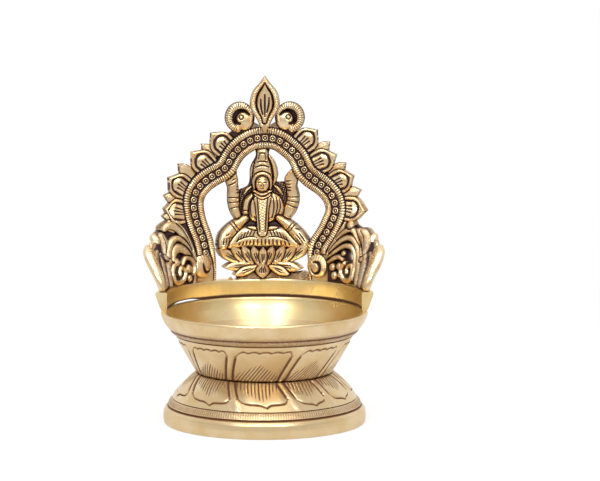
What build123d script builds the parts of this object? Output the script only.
from build123d import *

import math
import os

# A brass butter lamp: a shallow bowl on a spreading foot, with a pierced arch standing on the rear
# half of the bowl's rim. A seated goddess on a lotus sits in the arch.
# Millimetres, +Z up. The origin is the centre of the foot's underside, and the open front of the
# bowl faces -Y. Names that end in SHARE or SHARES hold shares of the named size beside them.

# Foot, from the floor up
FOOT_RADIUS = 38.4
FOOT_RIM_HEIGHT = 6.0
FOOT_STEP_RISE = 0.9
FOOT_STEP_INSET = 1.6
MILLED_BAND_RISE = 2.9
MILLED_BAND_INSET = 1.7
FOOT_FLANK_RISE = 9.6
FOOT_FLANK_BULGE = 0.7
FOOT_RIM_WALL = 3.2
FOOT_WALL = 2.6
WEB_THICKNESS = 3.0
WAIST_RADIUS = 25.6
WAIST_CHAMFER = 0.5

# Bowl, from the waist up
BOWL_FLANK_RISE = 14.2
BOWL_FLANK_SPREAD = 8.2
BOWL_STEP_RISE = 2.5
BOWL_STEP_SPREAD = 2.4
LIP_RISE = 6.5
LIP_SPREAD = 3.1
LIP_BULGE = 0.5
BOWL_RIM_WALL = 2.7
BOWL_WALL = 2.2
BOWL_FLOOR_THICKNESS = 5.2
BOWL_FLOOR_RADIUS = 16.0
TURNED_LINE_DEPTH = 0.35
TURNED_LINE_WIDTH = 0.5

# Engraved petals on both flanks, set out by hand: the angle of each rib between two petals, in
# degrees from the front, at the waist and at the flank's other edge
BOWL_RIB_ANGLES = [
    (-111, -98), (-70, -58), (-31, -20), (13.5, 25.5), (52, 64), (91, 103), (130, 142),
    (169, 181), (209, 221),
]
FOOT_RIB_ANGLES = [
    (-110, -95), (-72, -54), (-28.4, -16.5), (12.3, 22.5), (43.8, 49), (76, 79), (112, 117),
    (150, 155), (188, 193), (222, 229),
]
RIB_WIDTH = 3.8
ENGRAVING_WIDTH = 0.5
ENGRAVING_DEPTH = 0.35

# Stud, washer and nut under the waist
STUD_DIAMETER = 5.0
STUD_ENGAGEMENT = 3.2
STUD_PROJECTION = 1.0
WASHER_DIAMETER = 12.0
WASHER_THICKNESS = 1.0
NUT_ACROSS_FLATS = 8.0
NUT_HEIGHT = 4.0
SPIGOT_DIAMETER = 16.0
SPIGOT_DEPTH = 1.4
FIT_CLEARANCE = 0.15

# Half ring on the rim
BAND_INSET = 2.3
BAND_BASE_WIDTH = 2.2
BAND_TOP_WIDTH = 4.5
BAND_HEIGHT = 6.9

# Bent plate that the arch, crest and wings are cut from
ARCH_BEND_RADIUS = 115.0
BEND_BLEND_RISE = 38.0
PLATE_LEAN = 0.06
PLATE_SETBACK = 0.6
PLATE_THICKNESS = 2.4
LEVEL_COUNT = 14
PLATE_REACH = 50.0
WING_REACH = 66.0

# Arch
ARCH_HALF_WIDTH = 28.1
ARCH_RISE = 55.1
ARCH_HALF_BAND = 4.3
MOULDING_WIDTH = 2.7
MOULDING_RISE = 1.3
PEARL_DIAMETER = 2.0
PEARL_PITCH = 2.7
PEARL_MARK_DIAMETER = 0.7
PEARL_MARK_DEPTH = 0.3
ARCH_STATIONS = 60
ARCH_LEFT_SHARES = [
    (-0.904, 0.000), (-0.883, 0.118), (-0.872, 0.220), (-0.886, 0.298), (-0.947, 0.388),
    (-0.993, 0.501), (-0.996, 0.548), (-0.972, 0.604), (-0.929, 0.644), (-0.854, 0.686),
    (-0.715, 0.735), (-0.544, 0.789), (-0.448, 0.868), (-0.310, 0.945), (-0.128, 0.993),
]
ARCH_RIGHT_SHARES = [
    (0.178, 0.987), (0.331, 0.937), (0.470, 0.866), (0.569, 0.768), (0.655, 0.722),
    (0.808, 0.670), (0.950, 0.595), (1.000, 0.534), (1.004, 0.475), (0.968, 0.423),
    (0.872, 0.323), (0.769, 0.230), (0.776, 0.118), (0.790, 0.000),
]

# Crest of petals and square blocks outside the arch
CREST_PETAL_LENGTH = 9.8
CREST_PETAL_WIDTH = 9.4
CREST_BORDER = 1.3
CREST_RECESS = 0.8
CREST_LEAF_RISE = 1.0
CREST_STRIP = 2.6
CREST_LEFT_STRIP_SHARES = (0.13, 0.43)
CREST_RIGHT_STRIP_SHARES = (0.58, 0.78)
CREST_BLOCK_WIDTH = 3.6
CREST_BLOCK_LENGTH = 8.0
CREST_PETAL_SHARES = [
    (-0.36, 0.00), (-0.52, 0.30), (-0.44, 0.62), (-0.20, 0.86), (-0.14, 1.00),
]
# Each row is the root of a petal or block on the arch, (across, up), and the way that it leans
CREST_LEFT_PETALS_SHARES = [
    (-0.494, 0.913, 45), (-0.753, 0.788, 48), (-1.057, 0.626, 55), (-1.128, 0.485, 79),
]
CREST_LEFT_BLOCKS_SHARES = [
    (-0.667, 0.859, 45), (-0.977, 0.731, 50), (-1.139, 0.570, 68), (-1.217, 0.421, 85),
]
CREST_RIGHT_PETALS_SHARES = [
    (0.477, 0.938, -48), (0.712, 0.791, -58), (0.931, 0.668, -66), (1.104, 0.515, -94),
]
CREST_RIGHT_BLOCKS_SHARES = [(0.697, 0.879, -48), (0.904, 0.746, -55), (1.089, 0.588, -68)]

# Finial bud and its scrolls
BUD_HEIGHT = 20.2
BUD_WIDTH = 11.2
BUD_SINK = 0.6
BUD_BORDER = 1.9
BUD_RECESS = 0.9
BUD_LEAF_RISE = 1.4
BUD_SHARES = [(-0.12, 0.00), (-0.28, 0.22), (-0.50, 0.52), (-0.34, 0.78), (0.00, 1.00)]
SCROLL_OFFSET = 9.75
SCROLL_CENTRE_RISE = 3.7
SCROLL_RADIUS = 5.9
SCROLL_BAR_RISE = 1.6
SCROLL_BAR_SINK = 0.6
SCROLL_EYE_SHARE = 0.70
SCROLL_TURNS = 1.25
SCROLL_STATIONS = 30
SCROLL_INNER_SHARE = 0.29
SCROLL_BAR_SHARE = 0.475
SCROLL_TAPER_SHARE = 0.43
SCROLL_START_ANGLE = -80

# Wings, measured along the rim from the arch's leg to the end of the half ring
WING_RISE = 20.3
WING_THICKNESS = 1.6
WING_BAR = 2.0
WING_BAR_RISE = 1.5
LEAF_TAPER_SHARE = 0.55
WING_OUTLINE_SHARES = [
    (-0.03, 0.00), (-0.03, 0.96), (0.10, 1.00), (0.26, 0.99), (0.36, 0.86), (0.48, 0.80),
    (0.62, 0.92), (0.74, 0.88), (0.86, 0.62), (0.89, 0.30), (0.84, 0.00),
]
WING_LEAF_SHARES = [
    [(0.12, 0.46), (0.18, 0.68), (0.32, 0.80), (0.46, 0.74), (0.55, 0.56), (0.57, 0.34)],
    [(0.03, 0.66), (0.10, 0.84), (0.22, 0.93), (0.34, 0.84)],
    [(0.66, 0.86), (0.70, 0.66), (0.68, 0.42), (0.62, 0.16)],
    [(0.76, 0.80), (0.82, 0.54), (0.80, 0.28), (0.74, 0.08)],
]
WING_STATIONS = 14
FIRST_VOLUTE_SHARE = (-0.166, 0.32)
FIRST_VOLUTE_RADIUS = 4.4
SECOND_VOLUTE_SHARE = (0.364, 0.28)
SECOND_VOLUTE_RADIUS = 5.4
VOLUTE_DISC_THICKNESS = 1.0
CURL_SHARE = (0.085, 0.20)
CURL_RADIUS = 2.4
WING_WINDOW_SHARE = (0.36, 0.56)
WING_WINDOW_WIDTH = 3.4
WING_WINDOW_HEIGHT = 4.4

# Smooth upright beads at the ends of the half ring
BEAD_DIAMETER = 5.0
BEAD_PATH_SHARES = [(0.975, -0.02), (0.970, 0.24), (0.925, 0.46), (0.845, 0.65), (0.745, 0.78)]
BEAD_WIDTH_SHARES = [0.45, 0.85, 1.00, 0.85, 0.45]
BEAD_STATIONS = 16
BALL_DIAMETER = 3.8
BALL_SHARE = (0.600, 0.87)

# Lotus, built up on the half ring under the arch
LOTUS_CENTRE = -0.9
LOTUS_BACK = 2.4
LOTUS_BASE_RISE = 5.0
LOTUS_BASE_WIDTH = 27.0
LOTUS_BASE_DEPTH = 1.6
BASE_PETAL_WIDTH = 6.6
BASE_PETAL_RISE = 1.0
BASE_FAN_SHARES = [-0.80, -0.42, 0.00, 0.42, 0.80]
BASE_FAN_TILT = 62.0
LOTUS_SEAT_RISE = 9.6
LOTUS_SEAT_WIDTH = 37.0
LOTUS_SEAT_DEPTH = 2.4
SEAT_PETAL_WIDTH = 6.4
SEAT_PETAL_RISE = 1.0
SEAT_FAN_SHARES = [-0.92, -0.68, -0.45, -0.22, 0.00, 0.22, 0.45, 0.68, 0.92]
SEAT_FAN_TILT = 34.0
SEAT_ROOT_SHARE = 0.33
BASE_ROOT_SHARE = 0.24
LOTUS_PETAL_SHARES = [(-0.22, 0.00), (-0.50, 0.45), (-0.32, 0.80), (0.00, 1.00)]

# Goddess: every place is a share of her height, (across, up, towards the front)
FIGURE_HEIGHT = 35.9
FIGURE_BACK = 2.0
HEAD_RADIUS = 3.4
HEAD_SHARE = (0.000, 0.622, 0.040)
CROWN_SHARES = [
    (0.125, 0.700), (0.135, 0.770), (0.100, 0.800), (0.095, 0.860), (0.065, 0.900), (0.035, 1.000),
]
TORSO_SHARES = [
    (0.200, 0.000), (0.160, 0.200), (0.140, 0.270), (0.190, 0.400), (0.220, 0.480), (0.060, 0.560),
]
RELIEF_SHARE = 0.5
OVAL_SIDES = 16
LIMB_RADIUS = 1.9
LIMBS_SHARES = [
    [(-0.200, 0.480, 0.00), (-0.340, 0.290, 0.02), (-0.370, 0.500, 0.01), (-0.355, 0.690, 0.00)],
    [(0.200, 0.480, 0.00), (0.340, 0.290, 0.02), (0.410, 0.470, 0.01), (0.370, 0.690, 0.00)],
    [(-0.190, 0.430, 0.05), (-0.300, 0.270, 0.08), (-0.470, 0.080, 0.06)],
    [(0.190, 0.430, 0.05), (0.310, 0.270, 0.08), (0.490, 0.090, 0.06)],
    [(-0.080, 0.070, 0.08), (-0.360, 0.070, 0.06)],
    [(0.080, 0.070, 0.08), (0.380, 0.070, 0.06)],
]
HAIR_RADIUS = 1.7
HAIR_SHARES = [
    [(-0.115, 0.740, 0.00), (-0.135, 0.630, 0.00), (-0.185, 0.530, 0.00)],
    [(0.115, 0.740, 0.00), (0.135, 0.630, 0.00), (0.185, 0.530, 0.00)],
]
GARLAND_WIDTH = 3.2
GARLAND_RISE = 1.0
GARLAND_LOW_SHARE = 0.070
GARLAND_HIGH_SHARE = 0.540

# Braze lumps on the half ring: (along the rim as a share of its half length, size share)
BRAZE_SIZE = 2.4
BRAZE_SHARES = [(-0.224, 0.70), (0.206, 0.85), (0.244, 1.00), (0.280, 0.75)]

# Gaps between castings, and how far cutters stand past the metal
SEAM_GAP = 0.1
OVERRUN = 3.0
LOOK_AHEAD = 0.05

# Heights and radii that follow from the sizes above
FOOT_STEP_HEIGHT = FOOT_RIM_HEIGHT + FOOT_STEP_RISE
FOOT_LINE_HEIGHT = FOOT_STEP_HEIGHT + MILLED_BAND_RISE
FOOT_STEP_RADIUS = FOOT_RADIUS - FOOT_STEP_INSET
FOOT_LINE_RADIUS = FOOT_STEP_RADIUS - MILLED_BAND_INSET
WAIST_HEIGHT = FOOT_LINE_HEIGHT + FOOT_FLANK_RISE
WEB_HEIGHT = WAIST_HEIGHT - WEB_THICKNESS
BOWL_LINE_HEIGHT = WAIST_HEIGHT + BOWL_FLANK_RISE
BOWL_STEP_HEIGHT = BOWL_LINE_HEIGHT + BOWL_STEP_RISE
RIM_HEIGHT = BOWL_STEP_HEIGHT + LIP_RISE
BOWL_LINE_RADIUS = WAIST_RADIUS + BOWL_FLANK_SPREAD
BOWL_STEP_RADIUS = BOWL_LINE_RADIUS + BOWL_STEP_SPREAD
RIM_RADIUS = BOWL_STEP_RADIUS + LIP_SPREAD
BAND_RADIUS = RIM_RADIUS - BAND_INSET
BAND_TOP = RIM_HEIGHT + BAND_HEIGHT
BAND_HALF_LENGTH = BAND_RADIUS * math.pi / 2
PLATE_BACK = -PLATE_SETBACK - PLATE_THICKNESS
BUD_FOOT = BAND_TOP + ARCH_RISE + ARCH_HALF_BAND
PLATE_HEIGHT = ARCH_RISE + ARCH_HALF_BAND + BUD_HEIGHT + OVERRUN
FIGURE_FOOT = BAND_TOP + LOTUS_BASE_RISE + LOTUS_SEAT_RISE


# Places on the bent plate
def bend_radius(z):
    """Radius of the plate at height z: the rim's radius at its foot, flatter above."""
    share = min(max((z - BAND_TOP) / BEND_BLEND_RISE, 0), 1)
    smooth = share * share * (3 - 2 * share)
    return 1 / ((1 - smooth) / BAND_RADIUS + smooth / ARCH_BEND_RADIUS)


def plate_axis(z):
    """Y of the plate's bend centre at height z."""
    return BAND_RADIUS + PLATE_LEAN * max(z - BAND_TOP, 0) - bend_radius(z)


def plate_point(u, z, h=0.0):
    """Point at u along the bend, z up and h in front of the half ring's inner face."""
    radius = bend_radius(z)
    angle = u / radius
    return Vector(
        (radius - h) * math.sin(angle),
        plate_axis(z) + (radius - h) * math.cos(angle),
        z,
    )


def plate_frame(u, z, h=0.0, turn=0.0):
    """Plane on the plate, x along it and z towards the front, turned anticlockwise by turn degrees."""
    along = (plate_point(u + LOOK_AHEAD, z) - plate_point(u - LOOK_AHEAD, z)).normalized()
    upward = plate_point(u, z + LOOK_AHEAD) - plate_point(u, z - LOOK_AHEAD)
    front = along.cross(upward).normalized()
    angle = math.radians(turn)
    across = along * math.cos(angle) + front.cross(along) * math.sin(angle)
    return Plane(plate_point(u, z, h), x_dir=across, z_dir=front)


def plate_layer(back, front, reach, height):
    """Curved sheet between two depths of the plate, standing on the half ring."""
    levels = [BEND_BLEND_RISE * i / (LEVEL_COUNT - 1) for i in range(LEVEL_COUNT)]
    if height > BEND_BLEND_RISE:
        levels.append(height)
    else:
        levels = [level for level in levels if level < height] + [height]
    wires = []
    for level in levels:
        z = BAND_TOP + level
        outer = ThreePointArc(
            plate_point(-reach, z, back), plate_point(0, z, back), plate_point(reach, z, back)
        )
        inner = ThreePointArc(
            plate_point(reach, z, front), plate_point(0, z, front), plate_point(-reach, z, front)
        )
        ends = [Line(outer @ 1, inner @ 0), Line(inner @ 1, outer @ 0)]
        wires.append(Wire([outer.edge(), ends[0].edge(), inner.edge(), ends[1].edge()]))
    return Solid.make_loft(wires, ruled=True)


def strand(places, widths, rise, base, closed_below=True, sides=6):
    """Half-round bar along (u, z) places of the plate, one straight stretch per station."""
    wires = []
    last = len(places) - 1
    for i, (u, z) in enumerate(places):
        before = places[max(i - 1, 0)]
        after = places[min(i + 1, last)]
        ahead = plate_point(*after) - plate_point(*before)
        centre = plate_point(u, z, base)
        front = plate_frame(u, z).z_dir
        across = ahead.cross(front).normalized()
        half = widths[i] / 2
        start = 0 if closed_below else -math.pi
        sweep = math.pi if closed_below else 2 * math.pi
        count = sides if closed_below else 2 * sides
        corners = []
        for k in range(count + (1 if closed_below else 0)):
            angle = start + sweep * k / count
            corners.append(
                centre + across * (half * math.cos(angle)) + front * (rise[i] * math.sin(angle))
            )
        wires.append(Wire.make_polygon(corners, close=True))
    return Solid.make_loft(wires, ruled=True)


def front_prism(outline):
    """Cutter: a closed outline in the front view carried right through the lamp."""
    return extrude(Plane.XZ * outline, 2 * (BAND_RADIUS + PLATE_HEIGHT), both=True)


def mirrored_leaf(shares, width, length):
    """Leaf face on the XY plane: the left edge from its shares, the right edge mirrored."""
    left = [(across * width, up * length) for across, up in shares]
    right = [(-across, up) for across, up in reversed(left)]
    edge = Spline(*left)
    back = Spline(*right)
    lines = [edge, back, Line(back @ 1, edge @ 0)]
    if left[-1][0] != 0:
        lines.append(Line(edge @ 1, back @ 0))
    return make_face(Curve() + lines)


# Turned pieces
def turned(points):
    """Solid turned about the lamp's axis from (radius, height) edges."""
    return revolve(Plane.XZ * make_face(Curve() + points), Axis.Z)


def chain(*places):
    """Straight edges through (radius, height) places."""
    return [Line(a, b) for a, b in zip(places, places[1:])]


def flank_skin(low, high, bulge, depth):
    """Thin turned skin over a flank, from the surface inwards by depth, open outwards."""
    inner_low = (low[0] - depth, low[1])
    inner_high = (high[0] - depth, high[1])
    middle = ((low[0] + high[0]) / 2 + bulge - depth, (low[1] + high[1]) / 2)
    inside = ThreePointArc(inner_low, middle, inner_high) if bulge else Line(inner_low, inner_high)
    outside = chain(inner_high, (high[0] + OVERRUN, high[1]), (low[0] + OVERRUN, low[1]), inner_low)
    return turned([inside] + outside)


def rib_cutters(low, high, angles):
    """Thin slabs along both edges of the ribs that part the engraved petals.

    Each rib has its angle at the low and at the high end of the flank.
    """
    slabs = []
    for low_angle, high_angle in angles:
        for side in (-0.5, 0.5):
            start = math.radians(low_angle) + side * RIB_WIDTH / low[0]
            end = math.radians(high_angle) + side * RIB_WIDTH / high[0]
            bottom = Vector(low[0] * math.sin(start), -low[0] * math.cos(start), low[1])
            top = Vector(high[0] * math.sin(end), -high[0] * math.cos(end), high[1])
            middle = (bottom + top) / 2
            outward = Vector(middle.X, middle.Y, 0).normalized()
            plane = Plane(middle, x_dir=outward, z_dir=(top - bottom).cross(outward))
            length = (top - bottom).length + OVERRUN
            slabs.append(plane * Box(OVERRUN, length, ENGRAVING_WIDTH))
    return slabs


def engraved(body, low, high, bulge, angles):
    """Body with the ribs' edge lines cut to an even depth in one flank."""
    skin = flank_skin(low, high, bulge, ENGRAVING_DEPTH)
    for slab in rib_cutters(low, high, angles):
        body = body - (skin & slab)
    return body


def foot():
    low = (FOOT_LINE_RADIUS, FOOT_LINE_HEIGHT)
    high = (WAIST_RADIUS, WAIST_HEIGHT)
    middle = ((low[0] + high[0]) / 2 + FOOT_FLANK_BULGE, (low[1] + high[1]) / 2)
    seam = (WAIST_RADIUS - WAIST_CHAMFER, WAIST_HEIGHT)
    socket = SPIGOT_DIAMETER / 2 + FIT_CLEARANCE
    shaft = STUD_DIAMETER / 2 + FIT_CLEARANCE
    socket_floor = WAIST_HEIGHT - SPIGOT_DEPTH - FIT_CLEARANCE
    edges = chain(
        (FOOT_RADIUS - FOOT_RIM_WALL, 0),
        (FOOT_RADIUS, 0),
        (FOOT_RADIUS, FOOT_RIM_HEIGHT - TURNED_LINE_WIDTH),
        (FOOT_RADIUS - TURNED_LINE_WIDTH, FOOT_RIM_HEIGHT),
        (FOOT_STEP_RADIUS - TURNED_LINE_DEPTH, FOOT_STEP_HEIGHT - TURNED_LINE_WIDTH),
        (FOOT_STEP_RADIUS, FOOT_STEP_HEIGHT),
        (low[0] + TURNED_LINE_WIDTH, low[1] - TURNED_LINE_WIDTH),
        (low[0] - TURNED_LINE_DEPTH, low[1] - TURNED_LINE_WIDTH),
        low,
    )
    flank_end = (WAIST_RADIUS, WAIST_HEIGHT - WAIST_CHAMFER)
    edges.append(ThreePointArc(low, middle, flank_end))
    edges += chain(
        flank_end,
        seam,
        (socket, WAIST_HEIGHT),
        (socket, socket_floor),
        (shaft, socket_floor),
        (shaft, WEB_HEIGHT),
        (WAIST_RADIUS - FOOT_WALL, WEB_HEIGHT),
        (low[0] - FOOT_WALL, low[1] - FOOT_WALL),
        (FOOT_RADIUS - FOOT_RIM_WALL, 0),
    )
    angles = [(edge, waist) for waist, edge in FOOT_RIB_ANGLES]
    return engraved(turned(edges), low, high, FOOT_FLANK_BULGE, angles)


def bowl():
    low = (WAIST_RADIUS, WAIST_HEIGHT)
    high = (BOWL_LINE_RADIUS, BOWL_LINE_HEIGHT)
    seam = (WAIST_RADIUS - WAIST_CHAMFER, WAIST_HEIGHT)
    spigot = SPIGOT_DIAMETER / 2
    shaft = STUD_DIAMETER / 2 + FIT_CLEARANCE
    floor = WAIST_HEIGHT + BOWL_FLOOR_THICKNESS
    hole_top = WAIST_HEIGHT + STUD_ENGAGEMENT + FIT_CLEARANCE
    step = (BOWL_STEP_RADIUS, BOWL_STEP_HEIGHT)
    rim = (RIM_RADIUS, RIM_HEIGHT)
    lip_middle = ((step[0] + rim[0]) / 2 + LIP_BULGE, (step[1] + rim[1]) / 2)
    inner_rim = (RIM_RADIUS - BOWL_RIM_WALL, RIM_HEIGHT)
    belly = (BOWL_LINE_RADIUS - BOWL_WALL, BOWL_LINE_HEIGHT)
    floor_edge = (BOWL_FLOOR_RADIUS, floor)
    edges = chain(
        (0, hole_top),
        (shaft, hole_top),
        (shaft, WAIST_HEIGHT - SPIGOT_DEPTH),
        (spigot, WAIST_HEIGHT - SPIGOT_DEPTH),
        (spigot, WAIST_HEIGHT),
        seam,
        (WAIST_RADIUS, WAIST_HEIGHT + WAIST_CHAMFER),
        high,
        (high[0], high[1] + TURNED_LINE_WIDTH),
        (high[0] + TURNED_LINE_WIDTH, high[1] + TURNED_LINE_WIDTH),
        (step[0] - TURNED_LINE_DEPTH, step[1] - TURNED_LINE_WIDTH),
        (step[0] - TURNED_LINE_DEPTH, step[1]),
        step,
    )
    edges.append(ThreePointArc(step, lip_middle, rim))
    edges.append(Line(rim, inner_rim))
    edges.append(ThreePointArc(inner_rim, belly, floor_edge))
    edges += chain(floor_edge, (0, floor), (0, hole_top))
    return engraved(turned(edges), low, high, 0, BOWL_RIB_ANGLES)


# Fasteners
def waist_stud():
    bottom = WEB_HEIGHT - WASHER_THICKNESS - NUT_HEIGHT - STUD_PROJECTION
    top = WAIST_HEIGHT + STUD_ENGAGEMENT
    return Pos(0, 0, bottom) * Cylinder(
        STUD_DIAMETER / 2, top - bottom, align=(Align.CENTER, Align.CENTER, Align.MIN)
    )


def stud_washer():
    ring = Circle(WASHER_DIAMETER / 2) - Circle(STUD_DIAMETER / 2 + FIT_CLEARANCE)
    return extrude(Pos(0, 0, WEB_HEIGHT) * ring, -WASHER_THICKNESS)


def stud_nut():
    hexagon = RegularPolygon(NUT_ACROSS_FLATS / 2, 6, major_radius=False)
    ring = hexagon - Circle(STUD_DIAMETER / 2 + FIT_CLEARANCE)
    return extrude(Pos(0, 0, WEB_HEIGHT - WASHER_THICKNESS) * ring, -NUT_HEIGHT)


# Half ring
def back_band():
    outline = chain(
        (BAND_RADIUS, RIM_HEIGHT),
        (BAND_RADIUS + BAND_BASE_WIDTH, RIM_HEIGHT),
        (BAND_RADIUS + BAND_TOP_WIDTH, BAND_TOP),
        (BAND_RADIUS, BAND_TOP),
        (BAND_RADIUS, RIM_HEIGHT),
    )
    return revolve(Plane.XZ * make_face(Curve() + outline), Axis.Z, 180)


# Arch
def arch_curve():
    """Centre line of the arch in (along the plate, up) coordinates."""
    shares = ARCH_LEFT_SHARES + [(0.0, 1.0)] + ARCH_RIGHT_SHARES
    return Spline(*[(across * ARCH_HALF_WIDTH, up * ARCH_RISE + BAND_TOP) for across, up in shares])


def arch_places(offset, start=0.0, end=1.0, count=ARCH_STATIONS):
    """(u, z) places at an offset outside the arch's centre line."""
    curve = arch_curve()
    places = []
    for i in range(count + 1):
        share = start + (end - start) * i / count
        place = curve @ share
        ahead = curve % share
        places.append((place.X - ahead.Y * offset, place.Y + ahead.X * offset))
    return places


def front_view(places):
    """Places of the plate as the front view shows them, for a prism along the view."""
    return [(plate_point(u, z).X, z) for u, z in places]


def arch_face(inner, outer, start=0.0, end=1.0, drop=0.0):
    """Face between two offsets of the arch's centre line, with its feet lowered by drop."""
    outside = front_view(arch_places(outer, start, end))
    inside = front_view(reversed(arch_places(inner, start, end)))
    outer_curve = Spline(*outside)
    inner_curve = Spline(*inside)
    if not drop:
        ends = [Line(outer_curve @ 1, inner_curve @ 0), Line(inner_curve @ 1, outer_curve @ 0)]
        return make_face(Curve() + [outer_curve, inner_curve] + ends)
    low = BAND_TOP - drop
    right = chain(outside[-1], (outside[-1][0], low), (inside[0][0], low), inside[0])
    left = chain(inside[-1], (inside[-1][0], low), (outside[0][0], low), outside[0])
    return make_face(Curve() + [outer_curve, inner_curve] + right + left)


def arch_cutter(gap):
    """Everything that the arch fills in the front view, with a gap round it."""
    return front_prism(arch_face(-ARCH_HALF_BAND - gap, ARCH_HALF_BAND + gap, drop=OVERRUN))


def arch_frame():
    face = arch_face(-ARCH_HALF_BAND, ARCH_HALF_BAND, drop=OVERRUN)
    return plate_layer(PLATE_BACK, -PLATE_SETBACK, PLATE_REACH, PLATE_HEIGHT) & front_prism(face)


def arch_foot_length():
    """Length of each leg that lies under its volute, where the mouldings and pearls stop."""
    return FIRST_VOLUTE_SHARE[1] * WING_RISE + FIRST_VOLUTE_RADIUS + FIT_CLEARANCE


def moulding(offset):
    """Half-round bar of the arch, laid on the plate at an offset from the centre line."""
    start = arch_foot_length() / arch_curve().length
    places = arch_places(offset, start, 1 - start)
    count = len(places)
    base = SEAM_GAP - PLATE_SETBACK
    return strand(places, [MOULDING_WIDTH] * count, [MOULDING_RISE] * count, base)


def outer_moulding():
    return moulding(ARCH_HALF_BAND - FIT_CLEARANCE - MOULDING_WIDTH / 2)


def inner_moulding():
    return moulding(FIT_CLEARANCE + MOULDING_WIDTH / 2 - ARCH_HALF_BAND)


def pearl():
    """Domed bead with a punched centre, lying on the XY plane."""
    dome = Sphere(PEARL_DIAMETER / 2, arc_size1=0, align=None)
    mark = Cylinder(PEARL_MARK_DIAMETER / 2, PEARL_MARK_DEPTH)
    return dome - Pos(0, 0, PEARL_DIAMETER / 2) * mark


def pearl_row():
    curve = arch_curve()
    length = curve.length
    foot_length = arch_foot_length()
    count = int((length - 2 * foot_length) / PEARL_PITCH)
    bead = pearl()
    beads = []
    for i in range(count + 1):
        place = curve @ ((foot_length + (length - 2 * foot_length) * i / count) / length)
        frame = plate_frame(place.X, place.Y, SEAM_GAP - PLATE_SETBACK)
        beads.append(frame * bead)
    return Compound(children=beads)


# Crest
def crest_leaf(borders, low, high):
    """Petal on the XY plane, smaller by a number of borders, between two depths."""
    length = CREST_PETAL_LENGTH - borders * CREST_BORDER
    leaf = mirrored_leaf(CREST_PETAL_SHARES, CREST_PETAL_WIDTH - borders * CREST_BORDER, length)
    return Pos(0, 0, low) * extrude(leaf, high - low)


def crest_rows(shape, rows):
    """The shape at each place along the arch, leaning the way that the row says."""
    placed = []
    for across, up, turn in rows:
        place = (across * ARCH_HALF_WIDTH, BAND_TOP + up * ARCH_RISE)
        placed.append(plate_frame(*place, 0, turn) * shape)
    return placed


def crest(petals, blocks, start, end):
    """Petals and blocks standing on a strip outside the arch, trimmed clear of the arch.

    Each petal has a border round a recess, and a raised leaf in it.
    """
    strip = front_prism(arch_face(ARCH_HALF_BAND, ARCH_HALF_BAND + CREST_STRIP, start, end))
    sheet = plate_layer(PLATE_BACK, -PLATE_SETBACK, PLATE_REACH, PLATE_HEIGHT)
    block = Pos(0, CREST_BLOCK_LENGTH / 2, PLATE_BACK / 2) * Box(
        CREST_BLOCK_WIDTH, CREST_BLOCK_LENGTH, PLATE_THICKNESS
    )
    body = (sheet & strip) + crest_rows(block, blocks)
    body = body + crest_rows(crest_leaf(0, PLATE_BACK, 0), petals)
    for recess in crest_rows(crest_leaf(2, -CREST_RECESS, OVERRUN), petals):
        body = body - recess
    core = crest_leaf(3, -CREST_RECESS - SEAM_GAP, CREST_LEAF_RISE - CREST_RECESS - SEAM_GAP)
    return body + crest_rows(core, petals) - arch_cutter(SEAM_GAP)


def crest_left():
    return crest(CREST_LEFT_PETALS_SHARES, CREST_LEFT_BLOCKS_SHARES, *CREST_LEFT_STRIP_SHARES)


def crest_right():
    return crest(CREST_RIGHT_PETALS_SHARES, CREST_RIGHT_BLOCKS_SHARES, *CREST_RIGHT_STRIP_SHARES)


# Finial
def finial_bud():
    frame = plate_frame(0, BUD_FOOT - BUD_SINK)
    leaf = mirrored_leaf(BUD_SHARES, BUD_WIDTH, BUD_HEIGHT)
    inner_length = BUD_HEIGHT - 2 * BUD_BORDER
    inner = Pos(0, BUD_BORDER) * mirrored_leaf(BUD_SHARES, BUD_WIDTH - 2 * BUD_BORDER, inner_length)
    core_length = inner_length - 2 * BUD_RECESS
    core_width = BUD_WIDTH - 2 * BUD_BORDER - 2 * BUD_RECESS
    core = Pos(0, BUD_BORDER + BUD_RECESS) * mirrored_leaf(BUD_SHARES, core_width, core_length)
    body = Pos(0, 0, PLATE_BACK) * extrude(leaf, -PLATE_BACK + PLATE_SETBACK)
    body = body - Pos(0, 0, PLATE_SETBACK - BUD_RECESS) * extrude(inner, OVERRUN)
    body = body + Pos(0, 0, PLATE_SETBACK - BUD_RECESS - SEAM_GAP) * extrude(core, BUD_LEAF_RISE)
    return frame * body - arch_cutter(SEAM_GAP)


def spiral_places(u, z, radius, side):
    """Spiral round (u, z) from its outer turn inwards, and the bar's width at each station."""
    bar = radius * SCROLL_BAR_SHARE
    outer = radius - bar / 2
    inner = radius * SCROLL_INNER_SHARE
    places = []
    widths = []
    for i in range(SCROLL_STATIONS + 1):
        share = i / SCROLL_STATIONS
        angle = math.radians(SCROLL_START_ANGLE + 360 * SCROLL_TURNS * share)
        reach = outer + (inner - outer) * share
        places.append((u + side * reach * math.cos(angle), z + reach * math.sin(angle)))
        widths.append(bar * (1 + (SCROLL_TAPER_SHARE - 1) * share))
    return places, widths


def scroll(u, z, radius, side, back, disc_thickness):
    """Rolled scroll: a backing disc from depth back forwards, a spiral bar on it and a domed eye."""
    face = back + disc_thickness
    disc = Cylinder(radius - SCROLL_BAR_SINK, disc_thickness)
    disc = plate_frame(u, z, back + disc_thickness / 2) * disc
    places, widths = spiral_places(u, z, radius, side)
    rises = [SCROLL_BAR_SINK + SCROLL_BAR_RISE * width / widths[0] for width in widths]
    bar = strand(places, widths, rises, face - SCROLL_BAR_SINK)
    eye = plate_frame(u, z, face) * Sphere(radius * SCROLL_INNER_SHARE * SCROLL_EYE_SHARE)
    return disc + bar + eye


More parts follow.
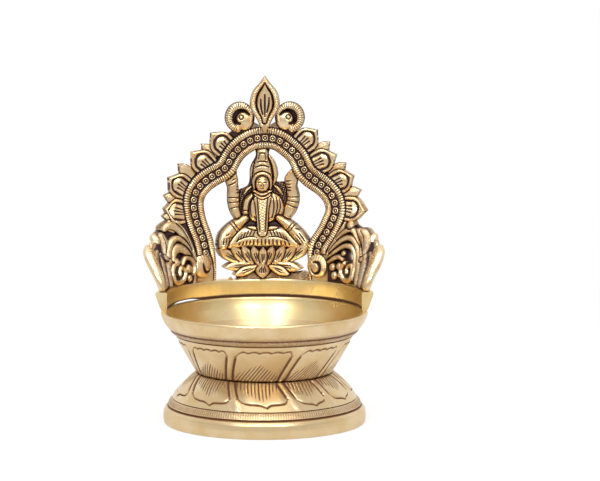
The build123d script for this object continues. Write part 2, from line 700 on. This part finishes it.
def finial_scroll(side, neighbour):
    z = BUD_FOOT + SCROLL_CENTRE_RISE
    body = scroll(side * SCROLL_OFFSET, z, SCROLL_RADIUS, side, PLATE_BACK, PLATE_THICKNESS)
    return body - arch_cutter(SEAM_GAP) - neighbour


# Wings
def leg_edge(side):
    """Distance along the plate from its middle to the outer side of one leg of the arch."""
    foot_share = ARCH_LEFT_SHARES[0][0] if side < 0 else ARCH_RIGHT_SHARES[-1][0]
    return abs(foot_share) * ARCH_HALF_WIDTH + ARCH_HALF_BAND


def wing_place(side, across, up):
    """(u, z) at a share of the stretch from the leg to the half ring's end, and of the rise."""
    leg = leg_edge(side)
    return (side * (leg + across * (BAND_HALF_LENGTH - leg)), BAND_TOP + up * WING_RISE)


def wing_plane(side):
    """Upright plane through the lamp's axis that faces the middle of one wing."""
    middle = wing_place(side, 0.5, 0)[0] / BAND_RADIUS
    outward = Vector(math.sin(middle), math.cos(middle), 0)
    along = Vector(math.cos(middle), -math.sin(middle), 0)
    return Plane((0, 0, 0), x_dir=along, z_dir=-outward)


def wing_view(side, places):
    """Places of the plate as they are seen square to one wing."""
    plane = wing_plane(side)
    seen = []
    for u, z in places:
        local = plane.to_local_coords(plate_point(u, z))
        seen.append((local.X, local.Y))
    return seen


def leaf_bar(side, path):
    """Curled leaf rib of a wing, thin at both ends."""
    curve = Spline(*[wing_place(side, *share) for share in path])
    places = []
    widths = []
    for i in range(WING_STATIONS + 1):
        share = i / WING_STATIONS
        place = curve @ share
        places.append((place.X, place.Y))
        widths.append(WING_BAR * (LEAF_TAPER_SHARE + (1 - LEAF_TAPER_SHARE) * math.sin(math.pi * share)))
    rises = [PLATE_SETBACK + WING_BAR_RISE * width / WING_BAR for width in widths]
    return strand(places, widths, rises, -2 * PLATE_SETBACK)


def wing(side, neighbours):
    corners = wing_view(side, [wing_place(side, *share) for share in WING_OUTLINE_SHARES])
    outline = make_face(Polyline(*corners, close=True))
    prism = extrude(wing_plane(side) * outline, -(BAND_RADIUS + BAND_TOP))
    back = -PLATE_SETBACK - WING_THICKNESS
    body = plate_layer(back, -PLATE_SETBACK, WING_REACH, WING_RISE + OVERRUN) & prism
    for path in WING_LEAF_SHARES:
        body = body + leaf_bar(side, path)
    if side > 0:
        window = Ellipse(WING_WINDOW_WIDTH / 2, WING_WINDOW_HEIGHT / 2)
        frame = plate_frame(*wing_place(side, *WING_WINDOW_SHARE))
        body = body - extrude(frame * window, OVERRUN, both=True)
    body = body - arch_cutter(SEAM_GAP) - below_band()
    for neighbour in neighbours:
        body = body - neighbour
    return body


def wing_volutes(side):
    """Rolled scrolls lying on the arch's foot and on the wing, with a small curl between them."""
    body = plate_frame(*wing_place(side, *CURL_SHARE)) * Sphere(CURL_RADIUS, arc_size1=0, align=None)
    for share, radius in (
        (FIRST_VOLUTE_SHARE, FIRST_VOLUTE_RADIUS),
        (SECOND_VOLUTE_SHARE, SECOND_VOLUTE_RADIUS),
    ):
        u, z = wing_place(side, *share)
        back = SEAM_GAP - PLATE_SETBACK + radius**2 / (2 * bend_radius(z))
        body = body + scroll(u, z, radius, side, back, VOLUTE_DISC_THICKNESS)
    return body - below_band()


# Beads
def wing_bead(side):
    curve = Spline(*[wing_place(side, *share) for share in BEAD_PATH_SHARES])
    last = len(BEAD_WIDTH_SHARES) - 1
    places = []
    widths = []
    for i in range(BEAD_STATIONS + 1):
        share = i / BEAD_STATIONS
        place = curve @ share
        step = min(int(share * last), last - 1)
        part = share * last - step
        width = BEAD_WIDTH_SHARES[step] * (1 - part) + BEAD_WIDTH_SHARES[step + 1] * part
        places.append((place.X, place.Y))
        widths.append(BEAD_DIAMETER * width)
    bead = strand(places, widths, [width / 2 for width in widths], PLATE_BACK / 2, False)
    ball = plate_frame(*wing_place(side, *BALL_SHARE), PLATE_BACK / 2) * Sphere(BALL_DIAMETER / 2)
    stem = limb([ball.center(), plate_point(*places[-1], PLATE_BACK / 2)], BALL_DIAMETER / 4)
    return bead + ball + stem - below_band()


def below_band():
    """Cutter: everything lower than the half ring's top."""
    size = 2 * (BAND_RADIUS + PLATE_HEIGHT)
    return Pos(0, 0, BAND_TOP - size / 2) * Box(size, size, size)


# Lotus
def lotus_fan(root_height, root_width, fan, upright, tilt, width, length, front):
    """Petals fanned out from a row of roots, leaning further from the middle outwards."""
    petals = []
    for share in fan:
        lean = share * tilt
        reach = length / math.cos(math.radians(lean))
        leaf = mirrored_leaf(LOTUS_PETAL_SHARES, width, reach)
        turn = -lean if upright else 180 + lean
        frame = plate_frame(LOTUS_CENTRE + share * root_width, root_height, front, turn)
        petals.append(frame * extrude(leaf, -front))
    return petals


def lotus_body(low, rise, low_half, high_half, depth):
    """Curved block behind the petals of one lotus row."""
    corners = front_view(
        [
            (LOTUS_CENTRE - low_half, low),
            (LOTUS_CENTRE - high_half, low + rise),
            (LOTUS_CENTRE + high_half, low + rise),
            (LOTUS_CENTRE + low_half, low),
        ]
    )
    sheet = plate_layer(-LOTUS_BACK, depth, PLATE_REACH, PLATE_HEIGHT)
    return sheet & front_prism(make_face(Polyline(*corners, close=True)))


def between(shape, low, high):
    """The part of a shape between two heights."""
    size = 2 * (BAND_RADIUS + PLATE_HEIGHT)
    return shape & Pos(0, 0, (low + high) / 2) * Box(size, size, high - low)


def lotus_base():
    top = BAND_TOP + LOTUS_BASE_RISE
    root = LOTUS_BASE_WIDTH * BASE_ROOT_SHARE
    body = lotus_body(BAND_TOP, LOTUS_BASE_RISE, root + BASE_PETAL_WIDTH / 2, root, LOTUS_BASE_DEPTH)
    front = LOTUS_BASE_DEPTH + BASE_PETAL_RISE
    for petal in lotus_fan(
        top, root, BASE_FAN_SHARES, False, BASE_FAN_TILT, BASE_PETAL_WIDTH, LOTUS_BASE_RISE, front
    ):
        body = body + petal
    return between(body, BAND_TOP, top)


def lotus_seat():
    low = BAND_TOP + LOTUS_BASE_RISE
    root = LOTUS_SEAT_WIDTH * SEAT_ROOT_SHARE
    body = lotus_body(low, LOTUS_SEAT_RISE, root, LOTUS_SEAT_WIDTH / 2, LOTUS_SEAT_DEPTH)
    front = LOTUS_SEAT_DEPTH + SEAT_PETAL_RISE
    for petal in lotus_fan(
        low, root, SEAT_FAN_SHARES, True, SEAT_FAN_TILT, SEAT_PETAL_WIDTH, LOTUS_SEAT_RISE, front
    ):
        body = body + petal
    return between(body, low, low + LOTUS_SEAT_RISE) - arch_cutter(SEAM_GAP)


# Goddess
def figure_point(across, up, front):
    """Point of the figure from shares of her height."""
    return plate_point(
        LOTUS_CENTRE + across * FIGURE_HEIGHT,
        FIGURE_FOOT + up * FIGURE_HEIGHT,
        front * FIGURE_HEIGHT,
    )


def figure_frame():
    """Upright plane through the figure's middle, leaning back as the plate does."""
    return Plane(figure_point(0, 0, 0), x_dir=(1, 0, 0), z_dir=(0, PLATE_LEAN, 1))


def limb(points, radius):
    """Round bar with round joints through the points."""
    body = Pos(*points[0]) * Sphere(radius)
    for a, b in zip(points, points[1:]):
        shaft = Plane((a + b) / 2, z_dir=b - a) * Cylinder(radius, (b - a).length)
        body = body + shaft + Pos(*b) * Sphere(radius)
    return body


def oval_stack(shares):
    """Upright body through oval sections, each a half width and a height as shares of the figure."""
    wires = []
    for half, up in shares:
        corners = []
        for k in range(OVAL_SIDES):
            angle = 2 * math.pi * k / OVAL_SIDES
            across = half * math.cos(angle)
            depth = half * RELIEF_SHARE * math.sin(angle)
            corners.append(Vector(across, depth, up) * FIGURE_HEIGHT)
        wires.append(Wire.make_polygon(corners, close=True))
    return Solid.make_loft(wires, ruled=True)


def goddess_figure():
    low = GARLAND_LOW_SHARE * FIGURE_HEIGHT
    high = GARLAND_HIGH_SHARE * FIGURE_HEIGHT
    chest = max(radius for radius, up in TORSO_SHARES) * RELIEF_SHARE * FIGURE_HEIGHT + GARLAND_RISE
    garland = Pos(0, -chest / 2, (low + high) / 2) * Box(GARLAND_WIDTH, chest, high - low)
    across, up, front = (share * FIGURE_HEIGHT for share in HEAD_SHARE)
    head = Pos(across, -front, up) * Sphere(HEAD_RADIUS)
    body = figure_frame() * (oval_stack(TORSO_SHARES) + oval_stack(CROWN_SHARES) + head + garland)
    for path in HAIR_SHARES:
        body = body + limb([figure_point(*share) for share in path], HAIR_RADIUS)
    for path in LIMBS_SHARES:
        body = body + limb([figure_point(*share) for share in path], LIMB_RADIUS)
    size = 2 * (BAND_RADIUS + PLATE_HEIGHT)
    behind = figure_frame() * Pos(0, FIGURE_BACK + size / 2, 0) * Box(size, size, size)
    return between(body - behind, FIGURE_FOOT, FIGURE_FOOT + FIGURE_HEIGHT) - arch_cutter(SEAM_GAP)


# Braze
def braze_tacks():
    """Lumps of braze on the half ring's top beside the lotus."""
    lumps = []
    for along, size in BRAZE_SHARES:
        place = plate_point(along * BAND_HALF_LENGTH, BAND_TOP, PLATE_BACK / 2)
        lumps.append(Pos(*place) * Sphere(BRAZE_SIZE * size / 2, arc_size1=0, align=None))
    return Compound(children=lumps)


def make_pieces():
    """Every piece of the lamp under its name."""
    pieces = {
        "foot": foot(),
        "bowl": bowl(),
        "waist_stud": waist_stud(),
        "stud_washer": stud_washer(),
        "stud_nut": stud_nut(),
        "back_band": back_band(),
        "arch_frame": arch_frame(),
        "outer_moulding": outer_moulding(),
        "inner_moulding": inner_moulding(),
        "pearl_row": pearl_row(),
        "crest_left": crest_left(),
        "crest_right": crest_right(),
        "finial_bud": finial_bud(),
        "lotus_base": lotus_base(),
        "lotus_seat": lotus_seat(),
        "goddess_figure": goddess_figure(),
    }
    for name, side in (("left", -1), ("right", 1)):
        crest_side = pieces[f"crest_{name}"]
        pieces[f"finial_scroll_{name}"] = finial_scroll(side, crest_side)
        volutes = wing_volutes(side)
        bead = wing_bead(side)
        pieces[f"wing_volutes_{name}"] = volutes
        pieces[f"wing_bead_{name}"] = bead
        pieces[f"wing_{name}"] = wing(side, [crest_side, volutes, bead, pieces["outer_moulding"]])
    pieces["braze_tacks"] = braze_tacks()
    return pieces


os.makedirs("parts", exist_ok=True)
for name, shape in make_pieces().items():
    export_step(shape, f"parts/{name}.step")
